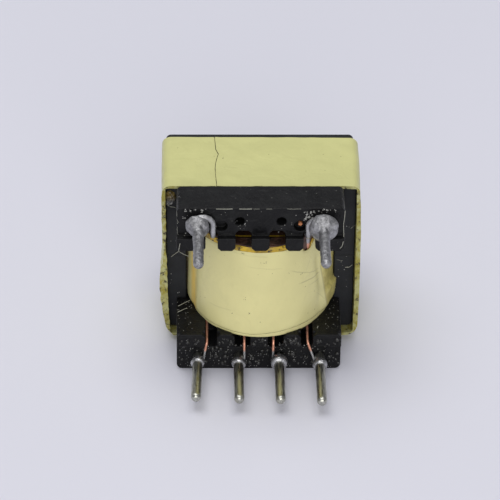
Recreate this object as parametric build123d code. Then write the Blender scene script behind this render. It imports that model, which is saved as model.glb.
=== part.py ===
"""Small board-mount ferrite transformer: two E-shaped core halves in one pin-carrying bobbin.

X runs along the pin rows, Y runs away from the circuit board and Z along the winding axis.
The origin is the middle of the pin pattern on the board plane, which the stand-off teeth
touch, so the pins reach into -Y. All sizes are in millimetres.
"""

import os
from math import asin, atan2, cos, pi, sin, sqrt

from build123d import *

# Ferrite core, two equal halves that meet at Z = 0
core_width = 13.0
core_depth = 6.15
core_yoke = 1.35
outer_leg = 1.40
centre_leg = 2.75
centre_gap = 0.15
core_corner = 0.35
core_edge = 0.07
core_shift = 0.12

# Bobbin moulding
leg_clearance = 0.15
tube_wall = 0.50
tube_corner = 0.80
winding_width = 7.0
flange_thickness = 1.0
flange_clearance = 0.25
flange_overhang = 2.0
flange_corner = 1.6
yoke_clearance = 0.15
core_clearance = 0.10
plate_inset = 0.85
rail_width = 11.3
rail_depth = 2.65
rail_height = 2.2
rail_corner = 0.40
rail_to_core = 1.40
stand_off = 0.45
tooth_corner = 0.22
inner_slot_width = 1.08
inner_slot_inset = 0.26
outer_slot_width = 0.82
outer_slot_inset = 0.91
slot_roof = 0.35
slot_wall = 0.60
slot_corner = 0.20
recess_radius = 0.42
recess_depth = 0.50
recess_inset = 1.55
recess_drop = 0.35

# Pins: two rows of four places, with the two inner ones of the upper row pulled out
pin_pitch = 2.8
pins_per_row = 4
pin_radius = 0.31
tin_thickness = 0.03
pin_end_gap = 0.15
hole_floor = 0.20
hole_mouth = 0.07
pin_point = 0.20
upper_reach = {1: 4.83, 4: 4.78}
lower_reach = {1: 4.60, 2: 4.79, 3: 4.86, 4: 5.05}

# Windings and insulation, from the tube outwards
layer_gap = 0.02
end_gap = 0.05
primary_share = 0.35
secondary_share = 0.28
inner_tape = 0.12
coil_tape = 0.18
coil_clearance = 0.20
coil_shift = 0.10
coil_slack_top = 0.55
coil_slack_bottom = 1.25
coil_shoulder = 0.80

# Tape band round the core
tape_width = 6.2
tape_overhang = 0.75
tape_thickness = 0.24
tape_gap = 0.02
tape_bow = 0.22
tape_bow_height = -0.80
tape_left_slack = 0.02
tape_right_slack = 0.08
tape_sag = 0.12
tape_flare = 0.08
tape_top_corner = 0.38
tape_bottom_corner = 0.66

# All leads, drawn with flat sides to keep the mesh light
fine_sides = 4
thick_sides = 5

# Fine lower leads, each wrapped round its pin
fine_wire = 0.18
fine_to_slot_floor = {1: 0.35, 2: 1.20, 3: 1.20, 4: 0.35}
fine_slot_share = {1: 0.06, 2: 0.66, 3: 0.34, 4: 0.60}
fine_bend = 0.25
bend_inset = 0.10
wrap_clearance = 0.01
wrap_inset = 0.20
wrap_pitch = 0.28
wrap_turns = {1: 0.75, 2: 1.25, 3: 0.50, 4: 1.75}
wrap_side = {1: 1, 2: 1, 3: -1, 4: -1}

# Thick upper leads, each bent into a hook behind its solder ball
thick_wire = 0.38
thick_slot_share = {1: 0.70, 4: 0.30}
thick_bend = 0.32
thick_clearance = 0.03
hook_lift = 0.01
hook_turn = {1: 235.0, 4: 215.0}
hook_aside = {1: 0.20, 4: 0.0}
hook_side = {1: 1, 4: -1}
hook_drop = 0.10

# Solder joints
ball_radius = {1: 0.82, 4: 0.98}
ball_half_length = {1: 1.05, 4: 0.74}
ball_to_rail = {1: 0.95, 4: 0.83}
collar_radius = {1: 0.51, 2: 0.51, 3: 0.63, 4: 0.54}
collar_half_length = {1: 0.26, 2: 0.26, 3: 0.34, 4: 0.26}
ball_steps = 4
collar_steps = 3
bead_sides = 14
bead_lip = 0.04

# Cut wire end that shows in one of the upper rail's recesses
stub_radius = 0.15
stub_length = 0.62

# Places that follow from the sizes above
rail_face_y = stand_off
rail_back_y = rail_face_y + rail_depth
row_end_x = (pins_per_row - 1) / 2 * pin_pitch
rail_end_x = rail_width / 2
recess_x = row_end_x - recess_inset
slot_floor_y = rail_back_y - slot_wall
core_front_y = rail_back_y + rail_to_core
core_mid_y = core_front_y + core_depth / 2
core_back_y = core_front_y + core_depth
flange_back_y = core_back_y + flange_overhang
flange_inner_z = winding_width / 2
flange_outer_z = flange_inner_z + flange_thickness
core_half_height = flange_outer_z + yoke_clearance + core_yoke
rail_top_z = flange_outer_z + rail_height
pin_row_z = flange_outer_z + rail_height / 2
pin_hole_depth = rail_depth - hole_floor
tinned_radius = pin_radius + tin_thickness
window_outer_x = core_width / 2 - outer_leg
tube_half_x = centre_leg / 2 + leg_clearance + tube_wall
tube_half_y = core_depth / 2 + leg_clearance + tube_wall
coil_half_z = flange_inner_z - end_gap
coil_half_width = window_outer_x - coil_clearance
coil_front_centre_y = core_front_y + coil_shoulder
coil_back_centre_y = core_back_y - coil_shoulder
coil_join = 0.6 * (coil_back_centre_y - coil_front_centre_y)
winding_space = coil_half_width - tube_half_x - coil_tape
coil_bulge = leg_clearance + tube_wall + winding_space + coil_tape
primary_build = primary_share * winding_space
secondary_build = secondary_share * winding_space
wrap_first_y = rail_face_y - wrap_inset


def pin_x(column):
    """Place of a pin column, counted from 1 at the left of the pin side."""
    return (column - (pins_per_row + 1) / 2) * pin_pitch


def block(x_low, x_high, y_low, y_high, z_low, z_high):
    """Box between two corners."""
    size = Box(x_high - x_low, y_high - y_low, z_high - z_low)
    return Pos((x_low + x_high) / 2, (y_low + y_high) / 2, (z_low + z_high) / 2) * size


def along_y(shape, x, y, z):
    """Turn a shape made along +Z so that it runs along +Y, and place it."""
    return Pos(x, y, z) * Rot(-90, 0, 0) * shape


def in_both_rows(upper):
    """The upper feature and its mirror image in the lower row."""
    return upper + mirror(upper, about=Plane.XY)


def core_half():
    """Upper E half: a yoke with two outer legs and a shorter centre leg."""
    half = block(-core_width / 2, core_width / 2, 0, core_depth, 0, core_half_height)
    outer_corners = half.edges().filter_by(Axis.Y).group_by(Axis.Z)[-1]
    half = fillet(outer_corners, core_corner)
    window_height = core_half_height - core_yoke
    for side in (-1, 1):
        near, far = sorted((side * centre_leg / 2, side * window_outer_x))
        half -= block(near, far, -1, core_depth + 1, -1, window_height)
    half -= block(-centre_leg / 2, centre_leg / 2, -1, core_depth + 1, -1, centre_gap / 2)
    rims = half.faces().filter_by(Axis.Y).edges().filter_by(lambda e: e.length > core_edge * 4)
    half = chamfer(rims, core_edge)
    return Pos(core_shift, core_front_y, 0) * half


def rounded_tube(half_x, half_y, corner, half_z):
    """Upright bar of rounded rectangular section round the centre leg's axis."""
    section = RectangleRounded(2 * half_x, 2 * half_y, corner)
    return Pos(0, core_mid_y, -half_z) * extrude(section, 2 * half_z)


def upper_flange():
    """Flange between the core's legs, with its wider plate in front of the core."""
    flange_x = window_outer_x - flange_clearance
    back = block(-flange_x, flange_x, rail_back_y, flange_back_y, flange_inner_z, flange_outer_z)
    back = fillet(back.edges().filter_by(Axis.Z).group_by(Axis.Y)[-1], flange_corner)
    plate_x = core_width / 2 - plate_inset
    plate_back_y = core_front_y - core_clearance
    return back + block(-plate_x, plate_x, rail_back_y, plate_back_y, flange_inner_z, flange_outer_z)


def upper_rail():
    """Pin rail in front of the core, standing on the flange."""
    rail = block(
        -rail_end_x, rail_end_x,
        rail_face_y, rail_back_y,
        flange_inner_z, rail_top_z,
    )
    return fillet(rail.edges().filter_by(Axis.Y).group_by(Axis.Z)[-1], rail_corner)


def tooth(x_low, x_high):
    """Stand-off tooth on the rail's inner edge, with its corners taken off towards the coil."""
    middle_y = (rail_face_y + slot_floor_y) / 2
    body = block(x_low, x_high, 0, middle_y, flange_inner_z, flange_outer_z)
    return chamfer(body.edges().filter_by(Axis.Y).group_by(Axis.Z)[0], tooth_corner)


def slot_spans():
    """Left and right side of each of the four wire slots, which lie inwards of their pins."""
    spans = []
    for column in range(1, pins_per_row + 1):
        outer = column in (1, pins_per_row)
        width = outer_slot_width if outer else inner_slot_width
        inset = outer_slot_inset if outer else inner_slot_inset
        inwards = 1 if pin_x(column) < 0 else -1
        middle = pin_x(column) + inwards * inset
        spans.append((middle - width / 2, middle + width / 2))
    return spans


def place_in_slot(column, wire, share):
    """Middle of a wire in its slot, against the left side at share 0 and the right one at 1."""
    left, right = slot_spans()[column - 1]
    return left + wire / 2 + share * (right - left - wire)


def upper_teeth():
    """The free teeth between the slots and the two longer ones at the rail's ends."""
    sides = [-rail_end_x]
    for span in slot_spans():
        sides.extend(span)
    sides.append(rail_end_x)
    return [tooth(left, right) for left, right in zip(sides[0::2], sides[1::2])]


def upper_slots():
    """Wire slots through the flange, with sloped roof corners under the rail."""
    cutters = []
    for left, right in slot_spans():
        cutter = block(
            left, right,
            -1, slot_floor_y,
            flange_inner_z - 1, flange_outer_z + slot_roof,
        )
        roof = cutter.edges().filter_by(Axis.Y).group_by(Axis.Z)[-1]
        cutters.append(chamfer(roof, slot_corner))
    return cutters


def pin_hole(column):
    """Blind pin hole of the upper rail."""
    bore = Cylinder(pin_radius, pin_hole_depth, align=(Align.CENTER, Align.CENTER, Align.MIN))
    return along_y(bore, pin_x(column), rail_face_y, pin_row_z)


def worn_mouth(column):
    """Widened mouth of an upper hole whose pin was pulled out."""
    mouth = Cone(
        pin_radius + hole_mouth, pin_radius, hole_mouth,
        align=(Align.CENTER, Align.CENTER, Align.MIN),
    )
    return along_y(mouth, pin_x(column), rail_face_y, pin_row_z)


def recess(side):
    """Round moulding recess in the upper rail's face, between two pin places."""
    pocket = Cylinder(recess_radius, recess_depth, align=(Align.CENTER, Align.CENTER, Align.MIN))
    return along_y(pocket, side * recess_x, rail_face_y, pin_row_z - recess_drop)


def bobbin():
    """One moulding: tube, two flanges, two pin rails, stand-off teeth, slots and pin holes."""
    solid = rounded_tube(tube_half_x, tube_half_y, tube_corner, flange_outer_z)
    upper = upper_flange() + upper_rail()
    for cutter in upper_slots():
        upper -= cutter
    for body in upper_teeth():
        upper += body
    columns = range(1, pins_per_row + 1)
    for column in columns:
        upper -= pin_hole(column)
    solid += in_both_rows(upper)
    for column in columns:
        if column not in upper_reach:
            solid -= worn_mouth(column)
    for side in (-1, 1):
        solid -= recess(side)
    bore = rounded_tube(
        centre_leg / 2 + leg_clearance, core_depth / 2 + leg_clearance,
        leg_clearance, flange_outer_z + 1,
    )
    return solid - bore


def layer(inside, build):
    """Wound layer that starts at a height above the tube and is build thick."""
    outside = inside + build
    outer = rounded_tube(
        tube_half_x + outside, tube_half_y + outside, tube_corner + outside, coil_half_z
    )
    inner = rounded_tube(
        tube_half_x + inside, tube_half_y + inside, tube_corner + inside, coil_half_z + 1
    )
    return outer - inner


def coil_lobe(half_width, length, outward):
    """Half ellipse that ends the coil's outline, with a rectangle that joins it to the other end."""
    start = 180 if outward < 0 else 0
    nose = EllipticalCenterArc((0, 0), half_width, length, start_angle=start, arc_size=180)
    inner_y = -outward * coil_join
    corners = [nose @ 1, Vector((nose @ 1).X, inner_y), Vector((nose @ 0).X, inner_y), nose @ 0]
    return make_face([*nose.edges(), *Polyline(*corners).edges()])


def coil_bar(inset, half_z):
    """Outer form of the coil, whose front leans out towards the lower flange."""
    lean = (coil_slack_bottom - coil_slack_top) / (2 * coil_half_z)
    slant = Vector(0, lean, 1)
    half_width = coil_half_width - inset
    slack = (coil_slack_bottom + coil_slack_top) / 2
    nose = coil_lobe(half_width, coil_shoulder + coil_bulge + slack - inset, -1)
    front = extrude(nose, 2 * half_z * slant.length, dir=slant)
    tail = coil_lobe(half_width, coil_shoulder + coil_bulge - inset, 1)
    rear = extrude(tail, 2 * half_z)
    front = Pos(coil_shift, coil_front_centre_y - lean * half_z, -half_z) * front
    return front + Pos(coil_shift, coil_back_centre_y, -half_z) * rear


def auxiliary_winding(inside):
    """Last winding, which fills the space out to the coil's tape."""
    bar = coil_bar(coil_tape + layer_gap, coil_half_z)
    core = rounded_tube(
        tube_half_x + inside, tube_half_y + inside, tube_corner + inside, coil_half_z + 1
    )
    return bar - core


def coil_cover():
    """Outer tape wound round the whole coil."""
    return coil_bar(0, coil_half_z) - coil_bar(coil_tape, coil_half_z + 1)


def core_band():
    """Tape round both core halves: slack at the sides, a little low underneath."""
    right = core_width / 2 + tape_gap + tape_right_slack
    left = -core_width / 2 - tape_gap - tape_left_slack
    top = core_half_height + tape_gap
    bottom = -core_half_height - tape_gap - tape_sag
    upper_right, upper_left = (right, top), (left, top)
    lower_left, lower_right = (left, bottom), (right + tape_flare, bottom)
    loop = [
        Line(upper_right, upper_left),
        ThreePointArc(upper_left, (left - tape_bow, tape_bow_height), lower_left),
        Line(lower_left, lower_right),
        Line(lower_right, upper_right),
    ]
    inside = make_face(loop)
    inside = fillet(inside.vertices().group_by(Axis.Y)[-1], tape_top_corner)
    lowest = [v for v in inside.vertices() if abs(v.Y - bottom) < tape_gap / 2]
    inside = fillet(lowest, tape_bottom_corner)
    outside = offset(inside, tape_thickness)
    band = extrude(outside - inside, -tape_width)
    return Pos(core_shift, core_front_y - tape_overhang, 0) * Rot(90, 0, 0) * band


def wire_along(path, diameter, sides):
    """Wire of a flat-sided section swept along its route."""
    section = RegularPolygon(diameter / 2, sides)
    return sweep(Plane(origin=path @ 0, z_dir=path % 0) * section, path=path)


def wrap_radius():
    """Radius of a fine wire's centre line round its pin."""
    return pin_radius + wrap_clearance + fine_wire / 2


def wrap_last(column):
    """Depth at which a wrapped wire's centre line ends."""
    return wrap_first_y - wrap_turns[column] * wrap_pitch


def fine_lead(column):
    """Fine wire from the coil through its slot and round its pin of the lower row."""
    side, radius = wrap_side[column], wrap_radius()
    pin_middle = Vector(pin_x(column), wrap_first_y, -pin_row_z)
    slot_x = place_in_slot(column, fine_wire, fine_slot_share[column])
    edge_z = bend_inset - flange_outer_z
    reach = Vector(pin_middle.X - slot_x, 0, pin_middle.Z - edge_z)
    lean = atan2(reach.X, -reach.Z) + side * asin(radius / reach.length)
    out = Vector(side * cos(lean), 0, side * sin(lean))
    contact = pin_middle + out * radius
    run = sqrt(reach.length ** 2 - radius ** 2)
    climb = wrap_pitch / (2 * pi * radius)
    bend = Vector(slot_x, contact.Y + climb * run, edge_z)
    start_y = slot_floor_y - fine_to_slot_floor[column]
    inner = Vector(slot_x, start_y, edge_z + flange_thickness / 2)
    start = Vector(slot_x, start_y, -coil_half_z)
    route = FilletPolyline(start, inner, bend, contact, radius=fine_bend)
    turns = wrap_turns[column]
    coil = Helix(wrap_pitch, turns * wrap_pitch, radius, lefthand=side > 0)
    coil = Plane(origin=pin_middle, x_dir=out, z_dir=(0, -1, 0)) * coil
    path = Wire([*route.edges(), *coil.edges()])
    return wire_along(path, fine_wire, fine_sides)


def thick_lead(column):
    """Thick wire from the coil through its slot and into a hook round its upper pin."""
    side = hook_side[column]
    slot_x = place_in_slot(column, thick_wire, thick_slot_share[column])
    middle_x = pin_x(column) + side * hook_aside[column]
    radius = abs(slot_x - middle_x)
    depth = rail_face_y - thick_wire / 2 - hook_lift
    centre = Vector(middle_x, depth, pin_row_z - hook_drop)
    contact = Vector(slot_x, depth, centre.Z)
    start_y = slot_floor_y - thick_wire / 2 - thick_clearance
    start = Vector(slot_x, start_y, coil_half_z)
    inner = Vector(slot_x, start_y, flange_inner_z + thick_wire)
    bend = Vector(slot_x, depth, flange_outer_z)
    route = FilletPolyline(start, inner, bend, contact, radius=thick_bend)
    frame = Plane(origin=centre, x_dir=(side, 0, 0), z_dir=(0, -side, 0))
    hook = frame * CenterArc((0, 0), radius, 0, hook_turn[column])
    path = Wire([*route.edges(), *hook.edges()])
    return wire_along(path, thick_wire, thick_sides)


def collar_centre(column):
    """Depth of a lower joint's middle: it starts where the wrapped wire ends."""
    return wrap_last(column) - fine_wire / 2 - collar_half_length[column]


def joint_front(row, column):
    """Depth at which a pin comes out of its solder joint, tinned from there on."""
    if row == "lower":
        return collar_centre(column) - collar_half_length[column]
    return rail_face_y - ball_to_rail[column] - ball_half_length[column]


def pin(row, column):
    """Round pin: bare in its hole and its joint, tinned beyond it, with a blunt point."""
    reach = (upper_reach if row == "upper" else lower_reach)[column]
    change = joint_front(row, column)
    bare = Cylinder(
        pin_radius, rail_face_y + pin_hole_depth - pin_end_gap - change,
        align=(Align.CENTER, Align.CENTER, Align.MIN),
    )
    tinned = Cylinder(
        tinned_radius, change + reach,
        align=(Align.CENTER, Align.CENTER, Align.MIN),
    )
    tinned = chamfer(tinned.edges().group_by(Axis.Z)[0], pin_point, pin_point / 2)
    solid = Pos(0, 0, change) * bare + Pos(0, 0, -reach) * tinned
    height = pin_row_z if row == "upper" else -pin_row_z
    return along_y(solid, pin_x(column), 0, height)


def solder_bead(radius, half_length, steps):
    """Bead round a pin's bare part, with flat sides set on a half ellipse, along +Z."""
    lip = tinned_radius + bead_lip
    outlines = []
    for step in range(steps + 1):
        turn = pi * step / steps
        outline = RegularPolygon(lip + (radius - lip) * sin(turn), bead_sides)
        outlines.append(Pos(0, 0, half_length * (1 - cos(turn))) * outline)
    bore = Cylinder(pin_radius, 2 * half_length, align=(Align.CENTER, Align.CENTER, Align.MIN))
    return loft(outlines, ruled=True) - bore


def solder_ball(column):
    """Egg-shaped joint of an upper pin, run round the pin and the wire's hook."""
    length, front_y = ball_half_length[column], joint_front("upper", column)
    bead = solder_bead(ball_radius[column], length, ball_steps)
    egg = along_y(bead, pin_x(column), front_y, pin_row_z)
    back_y = rail_face_y + 2 * length
    egg -= block(-rail_end_x, rail_end_x, rail_face_y, back_y, 0, 2 * rail_top_z)
    return egg - thick_lead(column)


def solder_collar(column):
    """Ring of solder on a lower pin, in front of the wrapped wire."""
    bead = solder_bead(collar_radius[column], collar_half_length[column], collar_steps)
    return along_y(bead, pin_x(column), joint_front("lower", column), -pin_row_z)


def wire_stub():
    """End of a cut wire, standing in the right-hand recess of the upper rail."""
    stub = extrude(RegularPolygon(stub_radius, thick_sides), -stub_length)
    floor = rail_face_y + recess_depth
    height = pin_row_z - recess_drop + recess_radius - stub_radius - layer_gap
    return along_y(stub, recess_x, floor, height)


def sub_parts():
    """Every sub-part by its node name."""
    first_tape = layer_gap + primary_build + layer_gap
    secondary = first_tape + inner_tape + layer_gap
    second_tape = secondary + secondary_build + layer_gap
    auxiliary = second_tape + inner_tape + layer_gap
    upper_half = core_half()
    parts = {
        "core_half_upper": upper_half,
        "core_half_lower": mirror(upper_half, about=Plane.XY),
        "core_tape": core_band(),
        "bobbin": bobbin(),
        "primary_winding": layer(layer_gap, primary_build),
        "primary_tape": layer(first_tape, inner_tape),
        "secondary_winding": layer(secondary, secondary_build),
        "secondary_tape": layer(second_tape, inner_tape),
        "auxiliary_winding": auxiliary_winding(auxiliary),
        "coil_tape": coil_cover(),
        "wire_stub": wire_stub(),
    }
    for column in upper_reach:
        parts[f"pin_upper_{column}"] = pin("upper", column)
        parts[f"lead_upper_{column}"] = thick_lead(column)
        parts[f"solder_upper_{column}"] = solder_ball(column)
    for column in lower_reach:
        parts[f"pin_lower_{column}"] = pin("lower", column)
        parts[f"lead_lower_{column}"] = fine_lead(column)
        parts[f"solder_lower_{column}"] = solder_collar(column)
    return parts


os.makedirs("parts", exist_ok=True)
for name, shape in sub_parts().items():
    export_step(shape, f"parts/{name}.step")
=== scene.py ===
"""Dresses the board-mount transformer: core, tape, coil, pins, solder, wires, varnish and dust."""

import math
import random

import bmesh
import bpy
from mathutils import Matrix, Vector, noise


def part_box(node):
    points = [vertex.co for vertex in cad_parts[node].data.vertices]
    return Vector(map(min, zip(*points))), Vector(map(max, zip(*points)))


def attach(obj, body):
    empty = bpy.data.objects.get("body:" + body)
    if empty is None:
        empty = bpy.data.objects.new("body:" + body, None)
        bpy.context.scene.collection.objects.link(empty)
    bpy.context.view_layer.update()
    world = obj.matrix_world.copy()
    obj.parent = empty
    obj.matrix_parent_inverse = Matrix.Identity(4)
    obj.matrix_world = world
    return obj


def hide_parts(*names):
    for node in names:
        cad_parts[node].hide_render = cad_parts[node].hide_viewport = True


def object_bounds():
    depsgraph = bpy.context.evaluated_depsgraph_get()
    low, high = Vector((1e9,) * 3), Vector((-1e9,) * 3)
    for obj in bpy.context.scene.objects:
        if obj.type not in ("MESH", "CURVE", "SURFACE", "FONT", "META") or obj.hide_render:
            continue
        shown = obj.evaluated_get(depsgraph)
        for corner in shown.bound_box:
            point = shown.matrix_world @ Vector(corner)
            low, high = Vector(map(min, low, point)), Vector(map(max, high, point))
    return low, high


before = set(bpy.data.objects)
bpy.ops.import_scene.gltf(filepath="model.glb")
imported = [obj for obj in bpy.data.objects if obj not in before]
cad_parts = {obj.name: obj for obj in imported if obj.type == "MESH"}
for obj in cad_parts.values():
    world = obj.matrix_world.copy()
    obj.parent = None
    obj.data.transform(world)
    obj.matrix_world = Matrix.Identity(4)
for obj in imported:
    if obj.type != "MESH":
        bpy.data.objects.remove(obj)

bl_info = {
    "name": "Board-mount transformer",
    "version": (1, 0, 0),
    "blender": (4, 5, 0),
    "location": "3D View > Sidebar > Transformer",
    "description": "Builds the visible surfaces of a board-mount transformer round its CAD model",
    "category": "Object",
}

CAD_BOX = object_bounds()
MM = 0.001
BODY = "root"


def box_mm(node):
    """Lowest and highest corner of a CAD node in millimetres."""
    low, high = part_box(node)
    return low / MM, high / MM


CORE_LOW = box_mm("core_half_lower")[0]
CORE_HIGH = box_mm("core_half_upper")[1]
BAND_LOW, BAND_HIGH = box_mm("core_tape")
COIL_LOW, COIL_HIGH = box_mm("coil_tape")
RAIL_LOW, RAIL_HIGH = box_mm("bobbin")

# Places that the pieces share, in millimetres
RAIL_FACE = 0.45
SLOT_FLOOR = 2.50
LEG_WIDTH = 1.40
PIN_ROW = 5.6
PIN_PITCH = 2.8
# Pin places that hold a pin, counted from 1 at the left
UPPER_COLUMNS = (1, 4)
LOWER_COLUMNS = (1, 2, 3, 4)
# How far inside the core's faces the coil's curves start, and how far its front leans back
COIL_SHOULDER = 0.80
COIL_RISE = 0.70
COIL_MIDDLE_X = (COIL_LOW.x + COIL_HIGH.x) / 2
COIL_LEAN = COIL_RISE / (COIL_HIGH.z - COIL_LOW.z)
COIL_FRONT_CENTRE = CORE_LOW.y + COIL_SHOULDER
COIL_FRONT_DEPTH = COIL_FRONT_CENTRE - COIL_LOW.y - COIL_RISE / 2
COIL_REAR_CENTRE = CORE_HIGH.y - COIL_SHOULDER
COIL_REAR_DEPTH = COIL_HIGH.y - COIL_REAR_CENTRE
# Y at which the coil's front ends, and the ways towards the front and upwards
FRONT_END = 5.0
FRONT, UP = Vector((0, -1, 0)), Vector((0, 0, 1))


def pin_x(column):
    """Place of a pin column, counted from 1 at the left."""
    return (column - 2.5) * PIN_PITCH


# Settings

def tint(name, description, default):
    """A colour that can be set."""
    return bpy.props.FloatVectorProperty(
        name=name, description=description, subtype="COLOR", size=3, min=0, max=1, default=default,
    )


def length(name, description, default, high, low=0):
    """A length in metres that can be set."""
    return bpy.props.FloatProperty(
        name=name, description=description, subtype="DISTANCE", unit="LENGTH",
        min=low, max=high, default=default,
    )


class TapeSettings(bpy.types.PropertyGroup):
    """Colours of the yellow film and its glue, and how loose the film is."""

    core_colour: tint("Core tape", "Film round the core", (0.595, 0.588, 0.252))
    coil_colour: tint("Coil tape", "Film round the coil", (0.700, 0.650, 0.305))
    glue_colour: tint(
        "Glue", "Amber adhesive that shows at the coil film's edges", (0.44, 0.25, 0.03),
    )
    olive_colour: tint(
        "Side glue", "Olive adhesive that shows through the core film's sides", (0.30, 0.26, 0.035),
    )
    slack: length("Slack", "How far the loose left side of the core tape waves", 0.00012, 0.0003)


class BlackSettings(bpy.types.PropertyGroup):
    """Colours of the ferrite and of the bobbin."""

    ferrite_colour: tint("Ferrite", "Sintered core", (0.012, 0.013, 0.015))
    bobbin_colour: tint("Bobbin", "Moulded resin", (0.0055, 0.0055, 0.006))
    edge_round: length("Edge rounding", "Width of the worn edges of the bobbin", 0.00006, 0.0001)


class MetalSettings(bpy.types.PropertyGroup):
    """Colours of the wires, pins and solder."""

    copper_colour: tint("Copper", "Enamelled winding wire", (0.80, 0.38, 0.25))
    solder_colour: tint("Solder", "Dull frozen solder", (0.38, 0.38, 0.39))
    pin_colour: tint("Pin", "Tinned pin", (0.50, 0.50, 0.45))
    lump: length("Lumps", "How uneven the solder joints are", 0.00007, 0.0002)


class DustSettings(bpy.types.PropertyGroup):
    """Loose specks and varnish threads."""

    flakes: bpy.props.IntProperty(
        name="Flakes", description="How many pale specks lie on the black parts",
        min=0, max=600, default=260,
    )
    flake_size: length("Flake size", "Largest width of a speck", 0.00011, 0.0003)
    thread_width: length("Thread width", "Thickness of a varnish thread", 0.000045, 0.0002)


class StageSettings(bpy.types.PropertyGroup):
    """Floor, light and camera."""

    floor_colour: tint("Floor", "Pale floor", (0.685, 0.685, 0.757))
    distance: length("Camera distance", "From the camera to the point it looks at", 0.2201, 1, 0.05)
    lens: bpy.props.FloatProperty(
        name="Lens", description="Focal length in millimetres on a 36 mm sensor",
        min=50, max=500, default=229.8,
    )


# Node helpers

class Finish:
    """A procedural material in the making, whose nodes read the object's own place."""

    def __init__(self, name):
        self.material = bpy.data.materials.new(name)
        self.material.use_nodes = True
        self.tree = self.material.node_tree
        self.shader = self.tree.nodes["Principled BSDF"]
        self.place = self.add("ShaderNodeTexCoord").outputs["Object"]

    def add(self, kind, **values):
        """Adds a node and sets its properties."""
        node = self.tree.nodes.new(kind)
        for key, value in values.items():
            setattr(node, key, value)
        return node

    def link(self, source, target):
        """Joins two sockets."""
        self.tree.links.new(source, target)

    def set(self, **values):
        """Sets sockets of the shader by name, with underscores for spaces."""
        for key, value in values.items():
            self.shader.inputs[key.replace("_", " ")].default_value = value

    def stretched(self, x, y, z):
        """The place, scaled along each axis."""
        node = self.add("ShaderNodeVectorMath", operation="MULTIPLY")
        self.link(self.place, node.inputs[0])
        node.inputs[1].default_value = (x, y, z)
        return node.outputs[0]

    def noise(self, size, detail=3, rough=0.55, at=None, warp=0):
        """Noise whose features are about size millimetres wide."""
        node = self.add("ShaderNodeTexNoise")
        self.link(at or self.place, node.inputs["Vector"])
        node.inputs["Scale"].default_value = 1 / (size * MM)
        node.inputs["Detail"].default_value = detail
        node.inputs["Roughness"].default_value = rough
        node.inputs["Distortion"].default_value = warp
        return node.outputs["Fac"]

    def levels(self, value, low, high, to_low=0, to_high=1):
        """Stretches the part of a value between low and high."""
        node = self.add("ShaderNodeMapRange")
        self.link(value, node.inputs["Value"])
        limits = (("From Min", low), ("From Max", high), ("To Min", to_low), ("To Max", to_high))
        for socket, number in limits:
            node.inputs[socket].default_value = number
        return node.outputs["Result"]

    def patches(self, low, high, *noise, **more):
        """Noise stretched between two levels, as soft patches."""
        return self.levels(self.noise(*noise, **more), low, high)

    def maths(self, operation, a, b=None):
        """One sum on sockets or numbers."""
        node = self.add("ShaderNodeMath", operation=operation)
        for socket, value in zip(node.inputs, (a, b)):
            if isinstance(value, (int, float)):
                socket.default_value = value
            elif value is not None:
                self.link(value, socket)
        return node.outputs[0]

    def times(self, product, *factors):
        """Product of sockets and numbers."""
        for factor in factors:
            product = self.maths("MULTIPLY", product, factor)
        return product

    def specks(self, cell, radius, share):
        """Small round spots in a share of the cells of a grid, with the cell in millimetres."""
        node = self.add("ShaderNodeTexVoronoi")
        self.link(self.place, node.inputs["Vector"])
        node.inputs["Scale"].default_value = 1 / (cell * MM)
        near = self.levels(node.outputs["Distance"], radius, radius * 0.5)
        split = self.add("ShaderNodeSeparateColor")
        self.link(node.outputs["Color"], split.inputs[0])
        chosen = self.maths("LESS_THAN", split.outputs[0], share)
        return self.times(near, chosen)

    def mix(self, factor, a, b):
        """Mixes two colours, given as sockets or as red, green and blue."""
        node = self.add("ShaderNodeMix", data_type="RGBA")
        self.link(factor, node.inputs["Factor"])
        for socket, colour in ((node.inputs[6], a), (node.inputs[7], b)):
            if isinstance(colour, bpy.types.NodeSocket):
                self.link(colour, socket)
            else:
                socket.default_value = (*colour[:3], 1)
        return node.outputs[2]

    def cover(self, under, mask, amount, over):
        """Lays a colour over another where a mask says, at most by that amount."""
        return self.mix(self.times(mask, amount), under, over)

    def axis(self, index):
        """One coordinate of the place, in metres."""
        split = self.add("ShaderNodeSeparateXYZ")
        self.link(self.place, split.inputs[0])
        return split.outputs[index]

    def ramp(self, index, low, high):
        """Rises from 0 to 1 between two places along an axis, in millimetres."""
        return self.levels(self.axis(index), low * MM, high * MM)

    def stripe(self, value, middle, outer, inner=0):
        """Soft stripe where a value in metres is near a middle, all else in millimetres."""
        off = self.maths("ABSOLUTE", self.maths("SUBTRACT", value, middle * MM))
        return self.levels(off, outer * MM, inner * MM)

    def crease(self, slope, height, low, high):
        """Mask of a soft line over the front between two X, with its slope and its height at X 0,
        used for painted crease shade.
        """
        bend = self.times(self.noise(0.9, 2), 0.2 * MM)
        slant = self.times(self.axis(0), slope)
        rise = self.maths("ADD", self.maths("ADD", self.axis(2), slant), bend)
        span = self.times(self.ramp(0, low, low + 0.4), self.ramp(0, high, high - 0.2))
        return self.times(self.stripe(rise, height + 0.1, 0.07), span, self.ramp(1, 5, 4.5))

    def colour(self, source):
        """Gives the shader its colour."""
        self.link(source, self.shader.inputs["Base Color"])

    def roughness(self, source, low, high):
        """Gives the shader a roughness that varies between two values."""
        self.link(self.levels(source, 0.3, 0.7, low, high), self.shader.inputs["Roughness"])

    def bump(self, *heights):
        """Adds bumps, each a height socket with its depth in millimetres."""
        normal = None
        for height, depth in heights:
            node = self.add("ShaderNodeBump")
            node.inputs["Strength"].default_value = 1
            node.inputs["Distance"].default_value = depth * MM
            self.link(height, node.inputs["Height"])
            if normal:
                self.link(normal, node.inputs["Normal"])
            normal = node.outputs["Normal"]
        self.link(normal, self.shader.inputs["Normal"])


def shade(colour, factor):
    """A colour made darker or lighter."""
    return tuple(min(1, c * factor) for c in colour)
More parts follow.
